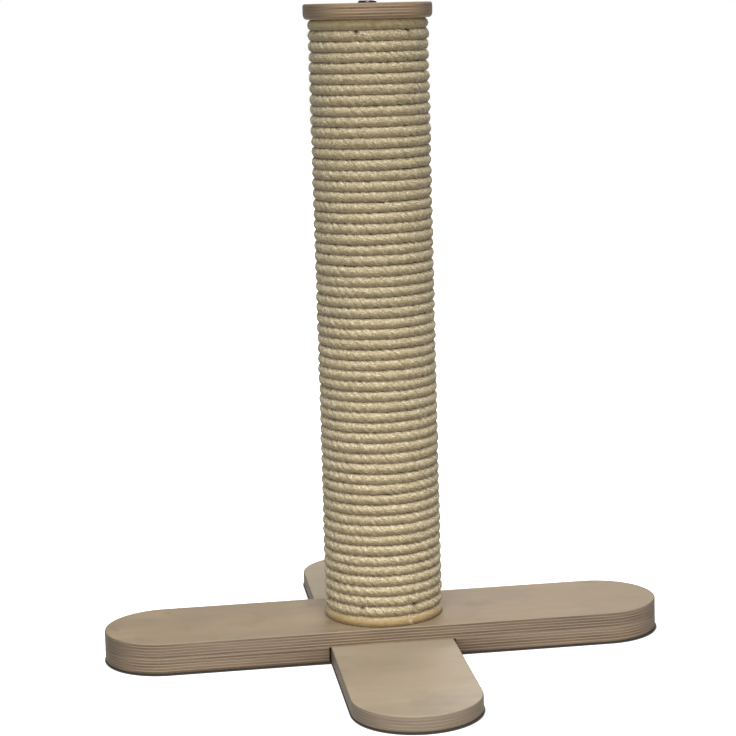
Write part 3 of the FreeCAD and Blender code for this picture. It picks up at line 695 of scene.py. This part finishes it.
def wind_rope():
    """The whole rope as one tube of three twisted strands."""
    angle, height, radius, number = rope_line()
    count = len(angle)
    squeeze = pinches(angle, number)
    rng = np.random.default_rng(11)
    steps = np.hypot(np.diff(angle) * lane, np.diff(height))
    travelled = np.concatenate(([0.0], np.cumsum(steps)))
    twist = -2 * math.pi * travelled / LAY + smooth_noise(rng, count, 25) * 0.4
    fullness = 1 + smooth_noise(rng, count, 9) * 0.016 + smooth_noise(rng, count, 90) * 0.016
    soaked = np.where(number < 1, 1.0, 0.0) + np.where(number > ROPE_TURNS - 2, 0.6, 0.0)
    soaked = np.convolve(soaked, np.ones(SOAKED_RINGS) / SOAKED_RINGS, "same")
    soaked[:SOAKED_RINGS] = 1.0
    soaked[-SOAKED_RINGS:] = 0.6

    around, strand, dip = strand_section()
    relief = STRAND_RELIEF * (1 - 0.7 * np.minimum(1.0, soaked * 1.6))
    lumps = np.stack([smooth_noise(rng, count, 1.5) for _ in range(RING_POINTS)], 1)
    size = fullness[:, None] * (1 - relief[:, None] * dip[None, :])
    turn = twist[:, None] + around[None, :]
    # Loose fibres make each turn's top and underside rougher than its outer face.
    rough = 0.045 + 0.05 * np.sin(turn) ** 2
    # A staple nips the top of its turn the most, and fibres close over it below.
    bite = squeeze[:, None] * (0.06 + 0.38 * np.clip(np.sin(turn), 0, 1) ** 0.7)
    size = size * (1 - bite) + lumps * rough * (1 - 0.6 * soaked[:, None])
    # The glued bottom turn has slumped into the corner above the board.
    slump = np.clip(-2 * np.sin(turn) * np.cos(turn), 0, 1) * (number < 1)[:, None]
    size = size * (1 + 0.26 * slump)
    out = np.cos(turn) * size
    up = np.sin(turn) * size
    level = np.maximum(height[:, None] + up * ROPE_RISE, FOOT + BOARD_GAP)
    spoke = radius[:, None] - squeeze[:, None] * PINCH_DEPTH + out * ROPE_DEPTH
    points = np.stack((np.cos(angle)[:, None] * spoke, np.sin(angle)[:, None] * spoke,
                       level), 2)
    # Fibres lie along the rope, leaning a little against the strands' twist.
    lean = turn - 0.2 * twist[:, None]
    fibre = np.stack((travelled[:, None] + strand[None, :] * 1.7,
                      np.cos(lean) * FIBRE_RADIUS * size + strand[None, :] * 0.05,
                      np.sin(lean) * FIBRE_RADIUS * size), 2)
    glued = np.where(number < 1, soaked, 0.0)[:, None] * (1 - 0.6 * np.clip(up, 0, 1) ** 2)
    # Painted shade for the sisal: the dips between strands, the grooves between turns and, most, each
    # turn's lower half, where light from above falls least.
    between_strands = dip[None, :] ** 3 * 0.35 * (relief[:, None] / STRAND_RELIEF)
    ragged = up + lumps * 0.16
    below = 0.9 * np.clip((0.62 - ragged) / 1.25, 0, 1)
    above = 0.5 * np.clip((ragged - 0.82) / 0.3, 0, 1)
    # The crest marks each turn's upper outer face, where the material paints a highlight of pale
    # flecks.
    crest = np.exp(-((up - 0.55) / 0.36) ** 2) * (out > 0)
    between_turns = np.maximum(below, above)
    groove_shade = np.clip(np.maximum(between_strands, between_turns), 0, 1)
    tight = np.repeat(np.where(number > ROPE_TURNS - 2, 1.0, 0.0)[:, None], RING_POINTS, 1)
    # Where a staple nips the rope its notch is darkened, a painted shadow.
    nipped = squeeze[:, None] * np.clip(0.25 + up, 0, 1)

    # The cut ends are rounded over.
    for end, inward in ((0, 1), (-1, -2)):
        centre = points[end].mean(0)
        points[end] = centre + (points[end] - centre) * 0.72
        points[inward] = centre + (points[inward] - centre) * 0.97

    base = np.arange(count - 1)[:, None] * RING_POINTS
    j = np.arange(RING_POINTS)[None, :]
    following = (j + 1) % RING_POINTS
    quads = np.stack((base + j, base + following, base + RING_POINTS + following,
                      base + RING_POINTS + j), 2).reshape(-1, 4)
    faces = quads.tolist()
    faces.append(tuple(reversed(range(RING_POINTS))))
    last = (count - 1) * RING_POINTS
    faces.append(tuple(range(last, last + RING_POINTS)))

    made = piece("sisal_rope_winding", points.reshape(-1, 3).tolist(), faces, sisal())
    mesh = made.data
    mesh.polygons.foreach_set("use_smooth", np.ones(len(mesh.polygons), bool))
    for name, kind, values in (
            ("fibre", "FLOAT_VECTOR", fibre), ("glued", "FLOAT", glued),
            ("groove_shade", "FLOAT", groove_shade), ("nipped", "FLOAT", nipped), ("tight", "FLOAT", tight),
            ("crest", "FLOAT", crest)):
        attribute = mesh.attributes.new(name, kind, "POINT")
        attribute.data.foreach_set("vector" if kind == "FLOAT_VECTOR" else "value",
                                   values.astype(np.float32).ravel())
    return made


FIBRE_COUNT = 15000
FIBRE_WIDTH = 0.13 * MM
TUFT_COUNT = 40
TUFT_WIDTH = 0.16 * MM
TUFT_ANGLE = math.radians(288.5)
RIBBON_STEPS = 4


def whiskers(name, places, lengths, lean, width, seed, follow=1.0):
    """Loose fibres that stand off the rope, each a thin curved ribbon.

    places holds, for each one, the angle round the post, the height, the distance
    from the post's axis, and the angle round the rope's own section. lean is how
    far they stand off, and follow how far they keep to the rope's own direction.
    """
    rng = np.random.default_rng(seed)
    points, faces = [], []
    for (angle, height, reach, tilt), length in zip(places, lengths):
        outward = Vector((math.cos(angle), math.sin(angle), 0.0))
        along = Vector((-math.sin(angle), math.cos(angle), 0.0)) * rng.choice((-1, 1))
        up = Vector((0.0, 0.0, 1.0))
        away = outward * math.cos(tilt) + up * math.sin(tilt)
        side = outward * -math.sin(tilt) + up * math.cos(tilt)
        start = outward * reach + up * height
        heading = along * follow + side * rng.normal(0.0, 0.8) + away * abs(rng.normal(0.0, lean))
        heading.normalize()
        bend = side * rng.normal(0.0, 0.5) + away * rng.normal(-0.1, lean)
        across = heading.cross(away).normalized() * width * rng.uniform(0.7, 1.3)
        first = len(points)
        for step in range(RIBBON_STEPS + 1):
            part = step / RIBBON_STEPS
            centre = start + (heading * part + bend * part * part * 0.5) * length
            points.append(centre - across * (1 - part * 0.7))
            points.append(centre + across * (1 - part * 0.7))
        for step in range(RIBBON_STEPS):
            low = first + 2 * step
            faces.append((low, low + 1, low + 3, low + 2))
    return piece(name, points, faces, loose_fibre())


def rope_whiskers():
    """Short fibres all over the rope, and a frayed tuft at its foot."""
    rng = np.random.default_rng(23)
    levels = rng.integers(1, ROPE_TURNS - 1, FIBRE_COUNT)
    tilts = rng.uniform(-1.25, 1.25, FIBRE_COUNT)
    angles = rng.uniform(0, 2 * math.pi, FIBRE_COUNT)
    heights = lowest + pitch * levels + np.sin(tilts) * ROPE_RISE * 0.97
    heights += pitch * climbed(((angles - LEVEL_START) / (2 * math.pi)) % 1.0)
    reaches = lane + np.cos(tilts) * ROPE_DEPTH * 0.97
    places = list(zip(angles, heights, reaches, tilts))
    lengths = rng.uniform(2.0, 6.5, FIBRE_COUNT) * MM
    fuzz = whiskers("sisal_loose_fibres", places, lengths, lean=0.25, width=FIBRE_WIDTH, seed=29)
    places = [(TUFT_ANGLE + rng.normal(0, 0.016), lowest + rng.uniform(-2.5, 4.5) * MM,
               lane + ROPE_DEPTH * rng.uniform(0.95, 1.1), rng.uniform(-0.6, 0.6))
              for _ in range(TUFT_COUNT)]
    lengths = rng.uniform(2.5, 5.0, TUFT_COUNT) * MM
    tuft = whiskers("sisal_frayed_tuft", places, lengths, lean=0.3, width=TUFT_WIDTH, seed=31,
                    follow=0.3)


rope = wind_rope()
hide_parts("sisal_rope")
rope_whiskers()


# ---------------------------------------------------------------- metal and inner pieces

zinc = steel("zinc_steel", ZINC, 0.42)
dark_steel = steel("dark_steel", BURNISHED, 0.10, spread=0.06)
# The staple steel's dark brown is a painted shade for the notches.
staple_steel = steel("staple_steel", STAPLE_WIRE, 0.5)
for name in ("right_packer_screws", "left_packer_screws", "cross_board_screws", "base_bolt",
             "tee_nuts"):
    carry_over(name, zinc)
for name in ("bottom_plug_staples", "top_plug_staples"):
    carry_over(name, staple_steel)


WIRE = 1.2 * MM
WIRE_SIDES = 8
STAPLE_BEND = 0.9 * MM
BEND_STEPS = 4
STAPLE_LEG = 21.0 * MM
END_CROWN = 12.0 * MM
# The staple over an end stands off its rope, and the others are pulled far into it.
END_LIFT = 0.2 * MM
NIP_DEPTH = 3.6 * MM
LOWER_END_ANGLE = 169.5
UPPER_END_ANGLE = 0.5


def wire_staple(angle, level, reach, crown, upright):
    """Points and faces of one staple: a bent round wire, driven in square to the post."""
    outward = Vector((math.cos(angle), math.sin(angle), 0.0))
    along = Vector((0, 0, 1)) if upright else Vector((-math.sin(angle), math.cos(angle), 0.0))
    broad = outward.cross(along)
    half = crown / 2 - WIRE / 2
    bend = STAPLE_BEND
    line = [(-half, -STAPLE_LEG)]
    for end, start in ((-1, math.pi), (1, math.pi / 2)):
        for step in range(BEND_STEPS + 1):
            turn = start - math.pi / 2 * step / BEND_STEPS
            line.append((end * (half - bend) + bend * math.cos(turn), bend * (math.sin(turn) - 1)))
    line.append((half, -STAPLE_LEG))
    points, faces = [], []
    for index, (across, depth) in enumerate(line):
        before = Vector(line[max(index - 1, 0)])
        after = Vector(line[min(index + 1, len(line) - 1)])
        heading = (after - before).normalized()
        normal = along * -heading.y + outward * heading.x
        centre = (outward * (reach - WIRE / 2 + depth) + along * across
                  + Vector((0, 0, level)))
        for step in range(WIRE_SIDES):
            turn = (2 * step + 1) * math.pi / WIRE_SIDES
            points.append(centre + normal * math.cos(turn) * WIRE * 0.5
                          + broad * math.sin(turn) * WIRE * 0.5)
    for index in range(len(line) - 1):
        for step in range(WIRE_SIDES):
            following = (step + 1) % WIRE_SIDES
            low = index * WIRE_SIDES
            high = low + WIRE_SIDES
            faces.append((low + step, low + following, high + following, high + step))
    faces.append(tuple(reversed(range(WIRE_SIDES))))
    faces.append(tuple(range(len(points) - WIRE_SIDES, len(points))))
    return points, faces


def rope_staples(name, node, end_level, end_degrees, turn_level, turn_degrees):
    """The staple over the rope's end and those that nip its second turn."""
    crest = lane + NOMINAL_RADIUS
    places = [(end_degrees, end_level, crest + END_LIFT, END_CROWN, False)]
    places += [(degrees, turn_level, crest - NIP_DEPTH, pitch + WIRE, True)
               for degrees in turn_degrees]
    points, faces = [], []
    for degrees, level, reach, crown, upright in places:
        more, rings = wire_staple(math.radians(degrees), level, reach, crown, upright)
        faces += [tuple(corner + len(points) for corner in face) for face in rings]
        points += more
    made = piece(name, points, faces, staple_steel)
    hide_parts(node)


rope_staples("lower_staples_wire", "lower_rope_staples", lowest, LOWER_END_ANGLE,
             lowest + pitch, LOWER_PINCHES)
rope_staples("upper_staples_wire", "upper_rope_staples", highest, UPPER_END_ANGLE,
             highest - pitch, UPPER_PINCHES)


SHANK_RADIUS = 4.0 * MM
SHANK_CHAMFER = 0.9 * MM
# Half the thread's pitch, from crest to root, its depth, and how far it stays from the tip
# and from the head. The plain shank under the head is a little shorter.
THREAD_STEP = 0.625 * MM
THREAD_DEPTH = 0.45 * MM
THREAD_START = 1.5 * MM
THREAD_END = 4.0 * MM
PLAIN_SHANK = 3.0 * MM
# The head's dome: how far in from its rim the flat begins, and the wall under the dome.
DOME_INSET = 2.6 * MM
DOME_STEPS = 8
HEAD_WALL = 0.5 * MM
HEAD_ARRIS = 0.25 * MM
# Half the width of the socket's mouth and of its flats, and its depths.
MOUTH_HALF_FLATS = 2.7 * MM
SOCKET_HALF_FLATS = 2.5 * MM
MOUTH_DEPTH = 0.2 * MM
SOCKET_DEPTH = 2.0 * MM
SOCKET_POINT = 2.4 * MM


def cap_fastener():
    """The bolt through the cap: a low domed head with a hexagon socket, and its shank."""
    head_radius = (bolt_high.x - bolt_low.x) / 2
    seat = cap_high.z
    top = bolt_high.z
    shank = SHANK_RADIUS
    flat_radius = head_radius - DOME_INSET
    wall = HEAD_WALL
    profile = [(shank - SHANK_CHAMFER, bolt_low.z), (shank, bolt_low.z + SHANK_CHAMFER)]
    thread = np.arange(bolt_low.z + THREAD_START, seat - THREAD_END, THREAD_STEP)
    for number, level in enumerate(thread):
        profile.append((shank - (THREAD_DEPTH if number % 2 else 0.0), level))
    profile += [(shank, seat - PLAIN_SHANK), (shank, seat), (head_radius - HEAD_ARRIS, seat),
                (head_radius, seat + HEAD_ARRIS), (head_radius, seat + wall)]
    for step in range(1, DOME_STEPS + 1):
        angle = math.pi / 2 * step / DOME_STEPS
        profile.append((flat_radius + (head_radius - flat_radius) * math.cos(angle),
                        seat + wall + (top - seat - wall) * math.sin(angle)))
    turns = 48
    points = [(0.0, 0.0, bolt_low.z)]
    for reach, level in profile:
        for step in range(turns):
            angle = 2 * math.pi * step / turns
            points.append((reach * math.cos(angle), reach * math.sin(angle), level))
    rows = len(profile)
    for half_flats, level in ((MOUTH_HALF_FLATS, top), (SOCKET_HALF_FLATS, top - MOUTH_DEPTH),
                              (SOCKET_HALF_FLATS, top - SOCKET_DEPTH)):
        for step in range(turns):
            angle = 2 * math.pi * step / turns
            reach = half_flats / math.cos((angle % (math.pi / 3)) - math.pi / 6)
            points.append((reach * math.cos(angle), reach * math.sin(angle), level))
        rows += 1
    points.append((0.0, 0.0, top - SOCKET_POINT))
    faces = []
    for row in range(rows - 1):
        for step in range(turns):
            following = (step + 1) % turns
            low = 1 + row * turns
            faces.append((low + step, low + following, low + turns + following, low + turns + step))
    last = 1 + (rows - 1) * turns
    for step in range(turns):
        following = (step + 1) % turns
        faces.append((0, 1 + following, 1 + step))
        faces.append((last + step, last + following, len(points) - 1))
    made = piece("cap_fastener", points, faces, dark_steel)
    for polygon in made.data.polygons:
        polygon.use_smooth = True
    made.data.set_sharp_from_angle(angle=math.radians(35))
    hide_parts("cap_bolt")


cap_fastener()
carry_over("core_tube", cardboard())
plug_wood = softwood()
carry_over("bottom_plug", plug_wood)
carry_over("top_plug", plug_wood)


# ---------------------------------------------------------------- stage, light and camera

def beside_boards(n, shift):
    """How far a point of the floor lies outside the boards' two outlines, moved by the shift."""
    split = n.new("ShaderNodeSeparateXYZ")
    n.plug(split.inputs[0], n.vector("SUBTRACT", n.place(), shift))
    distances = []
    for along, across in (("X", "Y"), ("Y", "X")):
        past = n.math("SUBTRACT", n.math("ABSOLUTE", split.outputs[along]),
                      BOARD_HALF - BOARD_RADIUS)
        past = n.math("MAXIMUM", past, 0.0)
        far = n.math("SQRT", n.math("ADD", n.math("POWER", past, 2.0),
                                    n.math("POWER", split.outputs[across], 2.0)))
        distances.append(n.math("SUBTRACT", far, BOARD_RADIUS))
    return n.math("MINIMUM", *distances)


def floor():
    """A white floor, bright enough to run into the white behind it, with a shadow painted round the
    boards.
    """
    n = Nodes("floor")
    # A painted shadow round the boards: it reaches further out in front of them and stays narrow round
    # their rounded ends, and the floor's glow is off within it.
    near = n.between(beside_boards(n, (0.0, 0.0, 0.0)), 0.2 * MM, 1.6 * MM)
    forward = n.between(beside_boards(n, (0.0, -5.0 * MM, 0.0)), -1.0 * MM, 2.0 * MM)
    clear = n.math("MULTIPLY", near, forward)
    shadow = (0.04, 0.035, 0.03)
    white = (0.85, 0.85, 0.85)
    n.set(Base_Color=n.mix(clear, shadow, white), Roughness=0.9)
    n.shader.inputs["Emission Color"].default_value = (1.0, 1.0, 1.0, 1.0)
    n.plug(n.shader.inputs["Emission Strength"], n.math("MULTIPLY", clear, 0.75))
    reach = 8.0
    mesh = bpy.data.meshes.new("floor")
    mesh.from_pydata([(-reach, -reach, 0), (reach, -reach, 0), (reach, reach, 0), (-reach, reach, 0)],
                     [], [(0, 1, 2, 3)])
    mesh.materials.append(n.material)
    made = bpy.data.objects.new("floor", mesh)
    bpy.context.scene.collection.objects.link(made)
    # The light that a floor throws back comes from the lower half of the world instead.
    made.visible_diffuse = False


def sky():
    """Soft light from all round, strongest from above, in front of plain white."""
    world = bpy.data.worlds.new("studio")
    world.use_nodes = True
    tree = world.node_tree
    background = tree.nodes["Background"]
    direction = tree.nodes.new("ShaderNodeTexCoord").outputs["Generated"]
    split = tree.nodes.new("ShaderNodeSeparateXYZ")
    tree.links.new(direction, split.inputs[0])
    height = tree.nodes.new("ShaderNodeMapRange")
    tree.links.new(split.outputs["Z"], height.inputs["Value"])
    height.inputs["From Min"].default_value = -1.0
    ramp = tree.nodes.new("ShaderNodeValToRGB")
    tree.links.new(height.outputs[0], ramp.inputs[0])
    levels = ((0.0, 0.12), (0.42, 0.22), (0.5, 0.30), (0.7, 0.36), (1.0, 0.5))
    while len(ramp.color_ramp.elements) < len(levels):
        ramp.color_ramp.elements.new(0.5)
    for element, (position, level) in zip(ramp.color_ramp.elements, levels):
        element.position = position
        element.color = (level, level, level, 1.0)
    seen = tree.nodes.new("ShaderNodeLightPath").outputs["Is Camera Ray"]
    choice = tree.nodes.new("ShaderNodeMix")
    choice.data_type = "RGBA"
    tree.links.new(seen, choice.inputs["Factor"])
    colours = [socket for socket in choice.inputs if socket.type == "RGBA"]
    tree.links.new(ramp.outputs["Color"], colours[0])
    colours[1].default_value = (1.0, 1.0, 1.0, 1.0)
    result = [socket for socket in choice.outputs if socket.type == "RGBA"][0]
    tree.links.new(result, background.inputs["Color"])
    bpy.context.scene.world = world


def lamp(name, kind, place, aim, power):
    """A lamp at a place that points at its aim."""
    data = bpy.data.lights.new(name, kind)
    data.energy = power
    made = bpy.data.objects.new(name, data)
    made.location = place
    made.rotation_euler = (Vector(aim) - Vector(place)).to_track_quat("-Z", "Y").to_euler()
    bpy.context.scene.collection.objects.link(made)
    return data


def studio():
    floor()
    sky()
    key = lamp("key", "SUN", place=(-0.03, -1.0, 2.35), aim=(0.0, 0.0, 0.0), power=2.1)
    key.angle = math.radians(28)
    low = lamp("low_front", "AREA", place=(-0.15, -1.0, 0.10), aim=(0.0, 0.0, 0.08), power=6.5)
    low.size = 0.6
    back = lamp("back", "AREA", place=(0.8, 2.4, 1.75), aim=(0.05, 0.0, 0.25), power=25.0)
    back.size = 1.4
    back.specular_factor = 0.0


def photograph_camera():
    """The camera of the photograph, fitted to the boards, the cap and the post."""
    focal_px, centre_x, centre_y, side_px = 2102.26, 441.6, 294.4, 736.0
    place = Vector((-255.34, -2012.01, 628.41)) * MM
    yaw, pitch_down, roll = -0.158, 0.1384, 0.0236
    forward = Vector((-math.sin(yaw) * math.cos(pitch_down), math.cos(yaw) * math.cos(pitch_down),
                      -math.sin(pitch_down)))
    right = Vector((math.cos(yaw), math.sin(yaw), 0.0))
    down = forward.cross(right)
    turned_right = math.cos(roll) * right + math.sin(roll) * down
    turned_down = -math.sin(roll) * right + math.cos(roll) * down
    data = bpy.data.cameras.new("photograph")
    data.sensor_width = 36.0
    data.lens = focal_px / side_px * data.sensor_width
    data.shift_x = (side_px / 2 - centre_x) / side_px
    data.shift_y = (centre_y - side_px / 2) / side_px
    data.clip_end = 60.0
    camera = bpy.data.objects.new("photograph", data)
    axes = Matrix((turned_right, -turned_down, -forward)).transposed()
    camera.matrix_world = Matrix.Translation(place) @ axes.to_4x4()
    bpy.context.scene.collection.objects.link(camera)
    bpy.context.scene.camera = camera


studio()
photograph_camera()
bpy.context.scene.view_settings.view_transform = "Standard"
